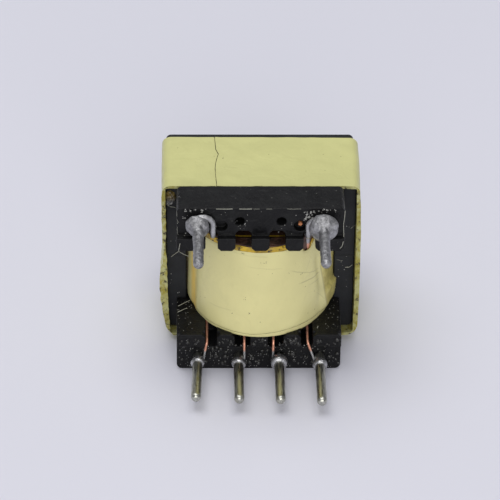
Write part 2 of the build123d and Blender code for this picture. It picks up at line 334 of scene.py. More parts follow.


# Finishes

# Painted shade lines along the creases of the coil's film: slope, height at X 0, X where it starts
# and ends, and depth of tone
FILM_CREASE_SHADES = (
    (0.12, 0.50, 2.6, 4.2, 0.55), (0.52, 2.44, 2.0, 4.1, 0.38), (0.30, 0.75, 3.3, 4.2, 0.30),
    (1.6, 5.0, 3.9, 4.5, 0.35), (-0.08, -1.55, -3.6, -1.8, 0.16), (0.05, 2.75, -3.0, 0.6, 0.16),
    (0.10, 1.85, -1.0, 1.6, 0.14),
)
# Colour of the painted shade along the creases
CREASE_SHADE = (0.30, 0.27, 0.13)
# The flap at the right of the coil's film: X of its end at mid height, and its slant
FLAP_END = 4.27
FLAP_SLANT = 0.16
# The painted glow streak at its left, where light shines through the film's rolled layers
STREAK_X = -4.47
PAINTED_GLOW_TONE = (0.90, 0.62, 0.14)


def front_marks(f, colour):
    """Lays the painted glow streak, the flap's painted shade and the painted crease shades over the
    colour of the coil's film.
    """
    front = f.ramp(1, 6, 5)
    # Painted glow where light shines through the film's rolled layers at the left
    streak = f.times(front, f.stripe(f.axis(0), STREAK_X, 0.24, 0.06))
    upright = f.noise(1.0, 2, 0.5, at=f.stretched(7.0, 1.2, 0.35))
    streak = f.times(streak, f.levels(upright, 0.30, 0.52, 0.35, 1))
    colour = f.cover(colour, streak, 0.85, PAINTED_GLOW_TONE)
    # Right of the flap's end: partly the deeper yellow of the film there, partly painted shade
    # under the standing flap, with a painted shade line along the flap's end
    slanted = f.maths("ADD", f.axis(0), f.times(f.axis(2), FLAP_SLANT))
    below = f.times(front, f.ramp(2, 0.9, 0.4))
    under = f.times(below, f.levels(slanted, (FLAP_END - 0.02) * MM, (FLAP_END + 0.06) * MM))
    flap_shade_patches = f.patches(0.38, 0.62, 0.7, 3, 0.6, warp=0.5)
    colour = f.cover(colour, under, 0.8, f.mix(flap_shade_patches, (0.60, 0.52, 0.16), (0.38, 0.32, 0.08)))
    flap_end_shade = f.times(below, f.stripe(slanted, FLAP_END, 0.07))
    colour = f.cover(colour, flap_end_shade, 0.5, (0.25, 0.21, 0.08))
    # Painted shade along the film's creases
    for slope, height, low, high, depth in FILM_CREASE_SHADES:
        colour = f.cover(colour, f.crease(slope, height, low, high), depth, CREASE_SHADE)
    return colour


def film_finish(name, base, marked=False):
    """Pale yellow polyester film with cloudy glue below it and a few dark specks."""
    f = Finish(name)
    colour = f.mix(f.patches(0.35, 0.7, 3.2, 4, 0.6), shade(base, 0.95), shade(base, 1.03))
    patch = f.levels(f.noise(0.9, 3, 0.6, warp=0.6), 0.56, 0.78, 0, 0.35)
    colour = f.mix(patch, colour, shade(base, 0.86))
    if marked:
        colour = front_marks(f, colour)
    f.colour(f.cover(colour, f.specks(0.62, 0.085, 0.30), 0.55, (0.12, 0.10, 0.04)))
    f.roughness(f.noise(0.8, 3), 0.36, 0.50)
    crease = f.patches(0.46, 0.54, 1.8, 2, 0.45, warp=1.2)
    f.bump((f.noise(1.6, 3, 0.5), 0.05), (crease, 0.008), (f.noise(0.16, 3, 0.6), 0.004))
    f.set(Specular_IOR_Level=0.45, Coat_Weight=0.12, Coat_Roughness=0.28)
    return f.material


def film_edge_finish(name, base, glue):
    """Cut edges and inner side of the film, stained with glue and dirt."""
    f = Finish(name)
    colour = f.mix(f.patches(0.42, 0.60, 0.70, 4, 0.65, warp=0.8), shade(base, 0.72), glue)
    f.colour(f.mix(f.patches(0.54, 0.63, 0.42, 3, 0.7), colour, (0.05, 0.04, 0.015)))
    f.roughness(f.noise(0.4), 0.30, 0.55)
    f.bump((f.noise(0.25, 3, 0.6), 0.02))
    return f.material


def glue_finish(name, amber):
    """Film or varnish soaked with brown glue."""
    f = Finish(name)
    colour = f.mix(f.patches(0.38, 0.62, 0.8, 3, 0.6, warp=0.4), amber, shade(amber, 0.38))
    f.colour(f.mix(f.patches(0.58, 0.70, 0.3, 3), colour, (0.02, 0.013, 0.006)))
    f.roughness(f.noise(0.4), 0.25, 0.45)
    f.bump((f.noise(0.3, 3), 0.02))
    return f.material


def ferrite_finish(colour):
    """Charcoal sintered ferrite with fine pores and a ground surface."""
    f = Finish("ferrite")
    grain = f.noise(0.07, 3, 0.7)
    pores = f.specks(0.30, 0.14, 0.30)
    tone = f.mix(f.patches(0.35, 0.70, 1.4, 4), shade(colour, 0.80), shade(colour, 1.35))
    tone = f.mix(f.levels(grain, 0.55, 0.75, 0, 0.6), tone, shade(colour, 1.8))
    tone = f.mix(pores, tone, shade(colour, 0.35))
    f.colour(f.cover(tone, f.specks(0.55, 0.09, 0.25), 0.6, (0.30, 0.30, 0.28)))
    f.roughness(f.noise(0.9, 3), 0.46, 0.62)
    f.bump((grain, 0.008), (f.times(pores, -1), 0.015), (f.noise(2.5, 2), 0.03))
    f.set(Specular_IOR_Level=0.30)
    return f.material


def bobbin_finish(colour):
    """Black moulded resin under patchy varnish, with dust stuck in it."""
    f = Finish("bobbin_resin")
    tone = f.mix(f.patches(0.35, 0.70, 2.2, 4, 0.6), shade(colour, 0.7), shade(colour, 1.5))
    tone = f.cover(tone, f.patches(0.52, 0.72, 0.7, 4, 0.65, warp=1.0), 0.55, (0.017, 0.018, 0.018))
    scuff = f.patches(0.62, 0.80, 0.5, 4, 0.7, at=f.stretched(0.25, 1, 1))
    tone = f.cover(tone, scuff, 0.5, (0.055, 0.055, 0.055))
    dust = f.specks(0.34, 0.12, 0.22)
    f.colour(f.cover(tone, dust, 0.55, (0.32, 0.32, 0.29)))
    f.roughness(f.noise(0.7, 4, 0.6, warp=0.6), 0.26, 0.58)
    varnish = f.noise(0.42, 3, 0.55, warp=0.5)
    f.bump((varnish, 0.075), (f.noise(0.13, 3, 0.6), 0.018), (dust, 0.02))
    f.set(Specular_IOR_Level=0.17, Coat_Weight=0.05, Coat_Roughness=0.20)
    return f.material


def solder_finish(name, colour, dull, lumps=1.0):
    """Frozen solder: grey and grainy, brighter where it stayed smooth."""
    f = Finish(name)
    grey = f.patches(0.35, 0.68, 0.30, 4, 0.65, warp=0.4)
    tone = f.mix(grey, shade(colour, 0.50), shade(colour, 1.30))
    f.colour(f.cover(tone, f.patches(0.60, 0.72, 0.11, 3, 0.6), 0.6, shade(colour, 0.35)))
    f.roughness(f.noise(0.22, 4, 0.6), dull - 0.12, dull + 0.12)
    f.bump((f.noise(0.26, 3, 0.6), 0.09 * lumps), (f.noise(0.09, 3, 0.6), 0.03 * lumps))
    f.set(Metallic=0.85)
    return f.material


def pin_finish(colour, dull):
    """Drawn and tinned pin with marks along it."""
    f = Finish("tinned_pin")
    drawn = f.noise(0.35, 3, 0.6, at=f.stretched(3.0, 0.35, 3.0))
    tone = f.mix(f.levels(drawn, 0.38, 0.64), shade(colour, 0.72), shade(colour, 1.12))
    f.colour(f.cover(tone, f.patches(0.55, 0.75, 0.8, 3, 0.6), 0.5, (0.30, 0.27, 0.14)))
    f.roughness(drawn, dull - 0.07, dull + 0.10)
    f.bump((drawn, 0.012))
    f.set(Metallic=1.0)
    return f.material


def copper_finish(name, colour, tin, copper_height, tin_height):
    """Enamelled copper that turns to tin between two heights in millimetres."""
    f = Finish(name)
    tone = f.mix(f.patches(0.35, 0.65, 0.35, 3), shade(colour, 0.8), shade(colour, 1.2))
    dull = f.mix(f.patches(0.35, 0.68, 0.30, 4, 0.65), shade(tin, 0.7), shade(tin, 1.2))
    f.colour(f.mix(f.ramp(2, copper_height, tin_height), tone, dull))
    f.roughness(f.noise(0.3), 0.30, 0.46)
    f.bump((f.noise(0.20, 2), 0.03))
    f.set(Metallic=0.6, Coat_Weight=0.3, Coat_Roughness=0.15)
    return f.material


def two_tone_finish(name, tones, patches, rough, bump, **shader):
    """Two tones in soft patches.

    The patches are given as levels and noise, the roughness as size and two values, and the bump
    as size, detail and depth.
    """
    f = Finish(name)
    f.colour(f.mix(f.patches(*patches), *tones))
    f.roughness(f.noise(rough[0]), *rough[1:])
    f.bump((f.noise(*bump[:2]), bump[2]))
    f.set(**shader)
    return f.material


def shade_line_finish(name):
    """Painted shade: a dark line in the narrow gap beside an end of the film."""
    tones = (0.05, 0.043, 0.015), (0.33, 0.31, 0.13)
    return two_tone_finish(name, tones, (0.42, 0.58, 0.6, 3), (0.3, 0.5, 0.7), (0.1, 2, 0.01))


def shaded_winding_finish(colour):
    """Wound copper seen at the coil's ends, painted nearly black: partly dark varnish between the
    turns, partly painted shade of the slots and ends it lies in.
    """
    return two_tone_finish(
        "shaded_wound_copper", (shade(colour, 0.02), shade(colour, 0.15)), (0.35, 0.65, 0.5, 4, 0.6),
        (0.3, 0.30, 0.50), (0.15, 2, 0.02), Metallic=0.4, Coat_Weight=0.15, Coat_Roughness=0.25,
    )


def black_varnish_finish():
    """Thick clear varnish over the black resin."""
    return two_tone_finish(
        "black_varnish", ((0.006, 0.006, 0.006), (0.022, 0.021, 0.018)), (0.40, 0.65, 0.3, 3),
        (0.2, 0.12, 0.28), (0.12, 2, 0.012), Specular_IOR_Level=0.55,
    )


def blister_finish():
    """Amber varnish over black, clear in places."""
    f = Finish("varnish_pool")
    cloud = f.patches(0.40, 0.62, 0.35, 3, 0.6, warp=0.6)
    amber = f.mix(cloud, (0.30, 0.22, 0.08), (0.07, 0.05, 0.012))
    grey = f.mix(cloud, (0.085, 0.085, 0.085), (0.02, 0.02, 0.02))
    f.colour(f.mix(f.ramp(2, 4.55, 5.05), grey, amber))
    f.roughness(f.noise(0.2), 0.15, 0.35)
    f.bump((f.noise(0.15, 2), 0.02))
    f.set(Coat_Weight=0.3, Coat_Roughness=0.1)
    return f.material


def varnish_finish(name, colour):
    """Dried varnish and dust: pale and slightly shiny."""
    f = Finish(name)
    f.colour(f.mix(f.noise(0.2, 2), shade(colour, 0.7), colour))
    f.roughness(f.noise(0.15), 0.30, 0.60)
    f.bump((f.noise(0.06, 2), 0.006))
    return f.material


def floor_finish(colour):
    """Matt pale board with hardly visible mottling."""
    f = Finish("floor")
    f.colour(f.mix(f.noise(25, 2), shade(colour, 0.995), shade(colour, 1.005)))
    f.roughness(f.noise(6), 0.85, 0.95)
    f.bump((f.noise(1.5, 2), 0.003))
    f.set(Specular_IOR_Level=0.1)
    return f.material


# Mesh helpers, in millimetres until the mesh is made. A skin is a list of points and one of faces.

def piece(name, skin, materials, replaces=(), kinds=None):
    """Makes a smooth mesh that rides on the part and stands for the named CAD nodes."""
    points, faces = skin
    mesh = bpy.data.meshes.new(name)
    mesh.from_pydata([Vector(p) * MM for p in points], [], faces)
    for material in materials:
        mesh.materials.append(material)
    if kinds:
        mesh.polygons.foreach_set("material_index", kinds)
    mesh.validate()
    return settle(name, mesh, replaces)


def settle(name, mesh, replaces=()):
    """Links a finished mesh, smooths it and ties it to the part."""
    bm = bmesh.new()
    bm.from_mesh(mesh)
    bmesh.ops.recalc_face_normals(bm, faces=bm.faces)
    for face in bm.faces:
        face.smooth = True
    bm.to_mesh(mesh)
    bm.free()
    mesh.set_sharp_from_angle(angle=math.radians(42))
    obj = bpy.data.objects.new(name, mesh)
    bpy.context.scene.collection.objects.link(obj)
    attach(obj, BODY)
    if replaces:
        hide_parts(*replaces)
    return obj


def coat(node, material):
    """Gives a CAD node one finish."""
    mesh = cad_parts[node].data
    mesh.materials.clear()
    mesh.materials.append(material)


def wobble(point, size, seed=0.0):
    """Smooth noise from -1 to 1 at a place, with features about size millimetres wide."""
    return noise.noise(Vector(point) / size + Vector((seed, -seed, 2.3 * seed)))


def clamp(value):
    """Value held between 0 and 1."""
    return max(0.0, min(1.0, value))


def hill(off, width, power=2):
    """Smooth rise to 1 where a distance is 0, about that wide to each side."""
    return math.exp(-(off / width) ** power)


def ring(middle, side, across, radii, spin=0.0):
    """Points round a middle in the plane of two ways, one for each radius."""
    points = []
    for k, radius in enumerate(radii):
        angle = 2 * math.pi * k / len(radii) + spin
        points.append(middle + (side * math.cos(angle) + across * math.sin(angle)) * radius)
    return points


def skin_rings(rings, cyclic=False):
    """Skin through rings of as many points each, capped unless the last one joins the first."""
    points = [p for each in rings for p in each]
    count, total = len(rings[0]), len(points)
    faces = []
    for row in range(len(rings) if cyclic else len(rings) - 1):
        for k in range(count):
            a, b = row * count + k, row * count + (k + 1) % count
            faces.append((a, b, (b + count) % total, (a + count) % total))
    if not cyclic:
        faces.append(tuple(reversed(range(count))))
        faces.append(tuple(range(total - count, total)))
    return points, faces


def tube(route, radius, sides):
    """Skin of a closed tube along a route, with a radius for each share of its length."""
    rings = []
    side = None
    for k, point in enumerate(route):
        ahead = (route[min(k + 1, len(route) - 1)] - route[max(k - 1, 0)]).normalized()
        if side is None:
            side = ahead.orthogonal().normalized()
        side = (side - ahead * side.dot(ahead)).normalized()
        rings.append(ring(point, side, ahead.cross(side), [radius(k / (len(route) - 1))] * sides))
    return skin_rings(rings)


def closed_tube(route, radius, sides=8):
    """Skin of an even tube along a closed route in a level plane."""
    rings = []
    for k, point in enumerate(route):
        ahead = (route[(k + 1) % len(route)] - route[k - 1]).normalized()
        rings.append(ring(point, Vector((ahead.y, -ahead.x, 0)), UP, [radius] * sides))
    return skin_rings(rings, cyclic=True)


def uneven(radius, vary, waves, key, seed):
    """A radius that wanders along a tube."""
    return lambda t: radius + vary * wobble((t * waves, key, 0), 1.0, seed)


def eased(corners, radius, step=0.06):
    """A route through corners, each rounded by an arc, with points a step apart."""
    corners = [Vector(corner) for corner in corners]
    route = corners[:1]
    for before, corner, after in zip(corners, corners[1:], corners[2:]):
        back, on = before - corner, after - corner
        cut = min(radius, back.length * 0.45, on.length * 0.45)
        start, end = corner + back.normalized() * cut, corner + on.normalized() * cut
        turns = max(4, int(cut * 3 / step))
        for k in range(turns + 1):
            t = k / turns
            route.append(start * (1 - t) ** 2 + corner * 2 * t * (1 - t) + end * t ** 2)
    return route + corners[-1:]


def joined(skins):
    """Several skins as one."""
    points, faces = [], []
    for more_points, more_faces in skins:
        base = len(points)
        points += more_points
        faces += [tuple(i + base for i in face) for face in more_faces]
    return points, faces


def turned_rings(middle, profile, sides, rough, seed):
    """Rings of a turned form along Y through a middle, uneven by that many millimetres."""
    rings = []
    for y, radius in profile:
        turned = []
        for way in ring(Vector(), Vector((1, 0, 0)), UP, [1] * sides):
            place = Vector((middle.x, y, middle.z)) + way * radius
            push = rough * wobble(place, 0.42, seed) + 0.45 * rough * wobble(place, 0.17, seed + 3)
            turned.append(place + way * push * min(1, radius / 0.25))
        rings.append(turned)
    return rings


# Core and its tape

# Edges of the core tape as height and X, from the top down, and its torn end as Y and X
LEFT_OUTSIDE = (
    (5.9, -6.66), (3.1, -6.68), (1.9, -6.63), (0.8, -6.55), (0.0, -6.63), (-0.9, -6.80),
    (-2.0, -6.86), (-3.2, -6.78), (-4.0, -6.66), (-5.0, -6.50), (-5.9, -6.37),
)
LEFT_INSIDE = (
    (5.5, -6.42), (2.2, -6.38), (1.3, -6.44), (0.0, -6.32), (-2.4, -6.28), (-4.1, -6.22),
    (-5.4, -6.13),
)
RIGHT_OUTSIDE = ((5.8, 6.84), (4.3, 6.92), (1.8, 6.99), (-1.5, 7.02), (-3.3, 7.02), (-4.9, 6.98))
RIGHT_INSIDE = ((5.5, 6.62), (3.5, 6.67), (1.0, 6.68), (-3.3, 6.70), (-5.0, 6.66))
TORN_END = ((3.7, -2.94), (5.9, -3.02), (6.9, -2.97), (7.55, -2.76), (8.4, -2.97), (10.0, -3.03))
# Columns of film across the torn end: distance from its line and depth below the surface
TEAR = (
    (-0.35, 0.0), (-0.10, 0.0), (-0.018, 0.015), (-0.006, 0.06),
    (0.014, 0.06), (0.026, -0.012), (0.14, -0.010), (0.4, 0.0),
)
# Columns painted with a dark line: painted shade in the groove at the torn end
TEAR_SHADED = (2, 3, 4)
# Even X of the band's sides, and how far each row of the band lies behind its front edge
BAND_LEFT, BAND_RIGHT = CORE_LOW.x - 0.30, BAND_HIGH.x - 0.10
BAND_DEPTHS = (
    0, 0.04, 0.10, 0.2, 0.35, 0.55, 0.75, 0.95, 1.3, 1.7,
    2.2, 2.8, 3.4, 4.0, 4.6, 5.2, 5.7, 6.0, 6.12, 6.2,
)


def between(table, at):
    """Value of a table of pairs at a place, smooth from pair to pair."""
    pairs = sorted(table)
    if at <= pairs[0][0]:
        return pairs[0][1]
    for (a, low), (b, high) in zip(pairs, pairs[1:]):
        if at <= b:
            t = (at - a) / (b - a)
            return low + (high - low) * t * t * (3 - 2 * t)
    return pairs[-1][1]


def band_outline(step=0.16):
    """Even outline of the core tape from the torn end, clockwise seen from the pins, with ways out.

    The first columns lie across the torn end, at the distances of TEAR from its line.
    """
    top, low = BAND_HIGH.z - 0.01, BAND_LOW.z + 0.01
    tight, wide = 0.62, 0.90
    tear = between(TORN_END, 6.0)
    lines = [(tear + off, top) for off, _ in TEAR]

    def straight(a, b):
        count = max(2, int((Vector(b) - Vector(a)).length / step))
        for k in range(1, count + 1):
            t = k / count
            lines.append((a[0] + (b[0] - a[0]) * t, a[1] + (b[1] - a[1]) * t))

    for x, z, r, start in (
        (BAND_RIGHT - tight, top - tight, tight, 90), (BAND_RIGHT - wide, low + wide, wide, 0),
        (BAND_LEFT + wide, low + wide, wide, 270), (BAND_LEFT + tight, top - tight, tight, 180),
    ):
        count = max(6, int(r * math.pi / 2 / (step * 0.5)))
        angles = [math.radians(start - 90 * k / count) for k in range(count + 1)]
        straight(lines[-1], (x + r * math.cos(angles[0]), z + r * math.sin(angles[0])))
        lines += [(x + r * math.cos(a), z + r * math.sin(a)) for a in angles[1:]]
    straight(lines[-1], lines[0])
    lines.pop()
    outline = []
    for k, (x, z) in enumerate(lines):
        way = (Vector(lines[(k + 1) % len(lines)]) - Vector(lines[k - 1])).normalized()
        outline.append((x, z, Vector((-way.y, 0, way.x))))
    return outline


def band_surface(slack):
    """Rings of the core tape, outer side and inner side, from front edge to rear edge."""
    outline = band_outline()
    outer, inner = [], []
    for depth in BAND_DEPTHS:
        y = BAND_LOW.y + depth
        front = clamp(1 - depth / 3.4)
        loose = clamp(1 - depth / 0.85)
        out_ring, in_ring = [], []
        for k, (x, z, way) in enumerate(outline):
            left, right = clamp((-5.75 - x) / 0.6), clamp((x - 6.1) / 0.6)
            lower = clamp((-5.3 - z) / 0.5)
            place = Vector((x, y, z))
            if k < len(TEAR):
                place.x = between(TORN_END, y) + TEAR[k][0] + 0.02 * wobble((0, y, 0), 0.25, 3.0)
                place.z -= TEAR[k][1]
            place.x += front * left * (between(LEFT_OUTSIDE, z) - BAND_LEFT)
            place.x += front * right * (between(RIGHT_OUTSIDE, z) - BAND_RIGHT)
            push = slack * left * (0.4 + 0.6 * front) * 0.6 * wobble((0, y * 0.7, z), 0.45, 6.0)
            push += 0.04 * lower * wobble((x, y, 0), 1.2, 3.0) - 0.03 * lower
            push += 0.012 * wobble((x, y, z), 1.6, 8.0) - 0.012
            place += way * push
            rim = 0.0
            if depth < 0.3:
                rim = 0.04 * wobble((x, 0, z), 0.5, 9.0) + 0.03
            elif depth > 5.8:
                rim = -0.03 * wobble((x, 0, z), 0.8, 9.0) - 0.09 - 0.06 * x / BAND_RIGHT
            inside = place - way * (0.22 + 0.02 * wobble((x, 0, z), 0.7, 5.0))
            stands_left = between(LEFT_INSIDE, z) + 0.05 * wobble((0, 0, z), 0.35, 4.0)
            stands_right = between(RIGHT_INSIDE, z) - 0.02
            for side, stands, hugs in (
                (left, stands_left, CORE_LOW.x - 0.015), (right, stands_right, CORE_HIGH.x + 0.015),
            ):
                inside.x += side * (loose * stands + (1 - loose) * hugs - inside.x)
            place.y += rim
            inside.y += rim
            out_ring.append(place)
            in_ring.append(inside)
        outer.append(out_ring)
        inner.append(in_ring)
    return outer, inner


def closed_sleeve(outer, inner):
    """Points, faces and face kinds of a sleeve: 0 on its outer side and 1 elsewhere."""
    points, faces = skin_rings(outer + inner[::-1], cyclic=True)
    outside = (len(outer) - 1) * len(outer[0])
    return points, faces, [0 if k < outside else 1 for k in range(len(faces))]


class TRANSFORMER_OT_core(bpy.types.Operator):
    """Gives both ferrite halves their finish"""

    bl_idname = "transformer.core"
    bl_label = "Finish the ferrite core"

    def execute(self, context):
        material = ferrite_finish(context.scene.transformer_black.ferrite_colour)
        for name in ("core_half_upper", "core_half_lower"):
            coat(name, material)
        return {"FINISHED"}


class TRANSFORMER_OT_core_tape(bpy.types.Operator):
    """Wraps the core in film that is tight on top and loose on the left"""

    bl_idname = "transformer.core_tape"
    bl_label = "Wrap the core tape"

    def execute(self, context):
        look = context.scene.transformer_tape
        film = film_finish("core_film", look.core_colour)
        edge = film_edge_finish("core_film_edge", look.core_colour, look.olive_colour)
        tear = shade_line_finish("torn_film_shade")
        outer, inner = band_surface(look.slack / MM)
        points, faces, kinds = closed_sleeve(outer, inner)
        count = len(outer[0])
        # Painted shade in the groove at the torn end
        for k in range((len(outer) - 1) * count):
            if k % count in TEAR_SHADED:
                kinds[k] = 2
        skin, finishes = (points, faces), (film, edge, tear)
        piece("core_tape_wrap", skin, finishes, ("core_tape",), kinds)
        return {"FINISHED"}


# Bobbin

def softened(name, node, width, material):
    """Copy of a CAD node, with edges rounded over a width in metres, that stands for the node."""
    bm = bmesh.new()
    bm.from_mesh(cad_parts[node].data)
    bmesh.ops.remove_doubles(bm, verts=bm.verts, dist=1e-7)
    bmesh.ops.dissolve_limit(
        bm, angle_limit=math.radians(1), use_dissolve_boundaries=False,
        verts=bm.verts, edges=bm.edges,
    )
    mesh = bpy.data.meshes.new(name)
    bm.to_mesh(mesh)
    bm.free()
    mesh.materials.append(material)
    obj = settle(name, mesh, (node,))
    bevel = obj.modifiers.new("edges", "BEVEL")
    bevel.width = width
    bevel.segments = 2
    bevel.limit_method = "ANGLE"
    bevel.angle_limit = math.radians(40)
    bevel.offset_type = "WIDTH"
    bevel.miter_outer = "MITER_ARC"
    bevel.use_clamp_overlap = False
    bevel.harden_normals = True
    return obj


class TRANSFORMER_OT_bobbin(bpy.types.Operator):
    """Rounds the bobbin's edges and gives it varnished black resin"""

    bl_idname = "transformer.bobbin"
    bl_label = "Finish the bobbin"

    def execute(self, context):
        look = context.scene.transformer_black
        material = bobbin_finish(look.bobbin_colour)
        softened("bobbin_moulding", "bobbin", look.edge_round, material)
        return {"FINISHED"}


# Coil

def coil_outline(z, inset=0.0, count=168):
    """Points of the coil's outline at a height, with the way out of the surface at each."""
    half = (COIL_HIGH.x - COIL_LOW.x) / 2 - inset
    front = COIL_FRONT_CENTRE + COIL_LEAN * z
    result = []
    for k in range(count):
        angle = 2 * math.pi * (k + 0.5) / count
        across, along = math.cos(angle), math.sin(angle)
        if along < 0:
            centre, depth = front, COIL_FRONT_DEPTH - inset
        else:
            centre, depth = COIL_REAR_CENTRE, COIL_REAR_DEPTH - inset
        place = Vector((COIL_MIDDLE_X + half * across, centre + depth * along, z))
        way = Vector((across / half, along / depth, 0)).normalized()
        result.append((place, way))
    return result


def coil_push(place, outer):
    """How far the coil's film stands off its even form at a place."""
    x, y, z = place
    push = 0.035 * wobble((x, y, z * 0.6), 2.4, 11.0) - 0.035
    push += 0.012 * wobble((x, y, z), 0.9, 12.0)
    if y < FRONT_END + 1:
        # A fold along the flap, a short slanted crease and a furrow at the left
        fold = x - 4.15 + 0.12 * z
        push += hill(z - 0.2, 1.5, 4) * (0.06 * hill(fold - 0.352, 0.208) - 0.10 * hill(fold, 0.16))
        push += 0.045 * hill(x - 2.9 - 1.5 * (z - 0.3), 0.16) * hill(z - 0.45, 0.55)
        push -= 0.05 * hill(x + 4.35 - 0.05 * z, 0.11)
        # The flap at the right, whose lower part stands off most
        flap = x - 4.2
        push += 0.08 * clamp(flap / 0.4)
        if z < -1.7 and outer:
            lower = clamp((-1.7 - z) / 0.12) * (1 - 0.5 * clamp((-2.2 - z) / 1.2))
            push += 0.24 * clamp(flap / 0.5) * lower
    # Both sides, which stand off further back
    aside = x - COIL_MIDDLE_X
    push += (0.12 if aside < 0 else 0.16) * clamp((abs(aside) - 4.3) / 0.5) * clamp((y - 3.6) / 0.8)
    return push


# Rows of film up the coil, and how many rows at the outer layer's lower edge take a painted shade
# line
FILM_ROWS = 60
SHADED_ROWS = 3
# Height of the glued rim at the top, and X of the notch for the right lead
GLUED_HEIGHT = 0.62
NOTCH_X = 3.25
# Colours of bare copper at a cut end, and of glue on the rim and in the beads
COPPER_END = (0.50, 0.19, 0.07)
RIM_GLUE = (0.60, 0.39, 0.02)
BEAD_GLUE = (0.06, 0.045, 0.012)


def notched(even, vary, size, seed, deep, wide):
    """Gap above the film, uneven all round, with a notch at the front for the right lead."""
    def gap(place):
        cut = even + vary * wobble(place, size, seed)
        if place.y < FRONT_END:
            cut += deep * hill(place.x - NOTCH_X, wide, 4)
        return cut
    return gap


def step_up(place):
    """Gap below the outer layer of film, which grows to the right at the front."""
    along = clamp((place.x + 0.6) / 3.0) if place.y < FRONT_END else 0.4
    return 0.12 + 0.16 * along + 0.03 * wobble(place, 1.2, 21)


def coil_film(inset, thick, low_gap, high_gap, outer):
    """Rings of one layer of the coil's film, up its outer side and down its inner side."""
    up, down = [], []
    for row in range(FILM_ROWS + 1):
        t = row / FILM_ROWS
        t = 0.5 - 0.5 * math.cos(math.pi * t)
        out_ring, in_ring = [], []
        for place, way in coil_outline(0, inset):
            low = COIL_LOW.z + low_gap(place)
            high = COIL_HIGH.z - high_gap(place)
            z = low + (high - low) * t
            at = place.copy()
            at.z = z
            if way.y < 0:
                at.y += COIL_LEAN * z
            push = coil_push(at, outer)
            lip = max(0.0, 1 - (high - z) / 0.25) + max(0.0, 1 - (z - low) / 0.20)
            push = coil_push(at, outer) - 0.05 * lip ** 2
            out_ring.append(at + way * push)
            in_ring.append(at + way * (push - thick))
        up.append(out_ring)
        down.append(in_ring)
    return up, down


def on_film(x, z):
    """Place on the front of the coil's film, with the way out of it."""
    half = (COIL_HIGH.x - COIL_LOW.x) / 2
    across = (x - COIL_MIDDLE_X) / half
    along = -math.sqrt(1 - across * across)
    place = Vector((x, COIL_FRONT_CENTRE + COIL_LEAN * z + COIL_FRONT_DEPTH * along, z))
    way = Vector((across / half, along / COIL_FRONT_DEPTH, 0)).normalized()
    return place + way * coil_push(place, True), way


def loop_between(share, z, count=120):
    """Loop of wire at a coil end, from share 0 on the last inner tape to 1 under the outer film."""
    inner_half_x, inner_half_y, corner = 4.08, 5.78, 2.86
    middle_y = (CORE_LOW.y + CORE_HIGH.y) / 2
    route = []
    for place, _ in coil_outline(z, 0.30, count):
        off = Vector((place.x, place.y - middle_y))
        ray = off.normalized()
        low, high = 0.0, 9.0
        for _ in range(22):
            mid = (low + high) / 2
            px, py = abs(ray.x * mid), abs(ray.y * mid)
            qx, qy = max(px - inner_half_x + corner, 0), max(py - inner_half_y + corner, 0)
            inside = math.hypot(qx, qy) < corner and px < inner_half_x and py < inner_half_y
            low, high = (mid, high) if inside else (low, mid)
        reach = low + 0.10
        reach += (off.length - reach) * share
        bend = 0.03 * wobble((ray.x * reach, ray.y * reach, z), 1.3, share * 9)
        route.append(Vector((ray.x * (reach + bend), middle_y + ray.y * (reach + bend), z)))
    return route


class TRANSFORMER_OT_coil(bpy.types.Operator):
    """Wraps the coil in two layers of film and shows the turns at its ends"""

    bl_idname = "transformer.coil"
    bl_label = "Wrap the coil"

    def execute(self, context):
        look = context.scene.transformer_tape
        film = film_finish("coil_film", look.coil_colour, marked=True)
        edge = film_edge_finish("coil_film_edge", look.coil_colour, look.glue_colour)
        rim = glue_finish("glued_rim", RIM_GLUE)
        line = shade_line_finish("film_end_shade")
        # Copper of the turns, darkened partly by varnish and partly by painted shade
        wound = shaded_winding_finish(context.scene.transformer_metal.copper_colour)

        top = notched(0.08, 0.03, 0.6, 25, 0.95, 0.36)
        layer = coil_film(0.07, 0.11, lambda place: -0.12, top, False)
        points, faces, kinds = closed_sleeve(*layer)
        for number, face in enumerate(faces):
            if max(points[i].z for i in face) > COIL_HIGH.z - GLUED_HEIGHT:
                kinds[number] = 2
        skin, finishes = (points, faces), (film, edge, rim)
        piece("coil_tape_under", skin, finishes, ("coil_tape",), kinds)

        top = notched(0.42, 0.05, 0.8, 22, 0.55, 0.42)
        points, faces, kinds = closed_sleeve(*coil_film(0.0, 0.06, step_up, top, True))
        # The outer film's lowest rows get a painted shade line below its standing edge
        shaded_faces = SHADED_ROWS * len(points) // (2 * (FILM_ROWS + 1))
        kinds[:shaded_faces] = [2] * shaded_faces
        piece("coil_tape_over", (points, faces), (film, edge, line), (), kinds)

        loops = []
        for z in (COIL_HIGH.z - 0.05, COIL_LOW.z + 0.05):
            loops += [closed_tube(loop_between((k + 0.5) / 5, z), 0.09) for k in range(5)]
        piece("coil_end_turns", joined(loops), (wound,))
        for name in ("primary_winding", "secondary_winding", "auxiliary_winding"):
            coat(name, wound)
        for name in ("primary_tape", "secondary_tape"):
            coat(name, rim)
        coat("wire_stub", copper_finish("copper_end", COPPER_END, COPPER_END, 0, 1))
        return {"FINISHED"}


# Pins, solder and leads

# Tip of a pin, as distance from its end and radius, and the radius in its hole
PIN_TIP = ((0.0, 0.0), (0.004, 0.10), (0.03, 0.20), (0.09, 0.275), (0.17, 0.315))
PIN_ROOT = 0.31
# Balls of solder on the upper pins: radius, half length and Y of the middle
BALLS = {1: (0.76, 0.50, -0.25), 4: (0.99, 0.61, -0.27)}


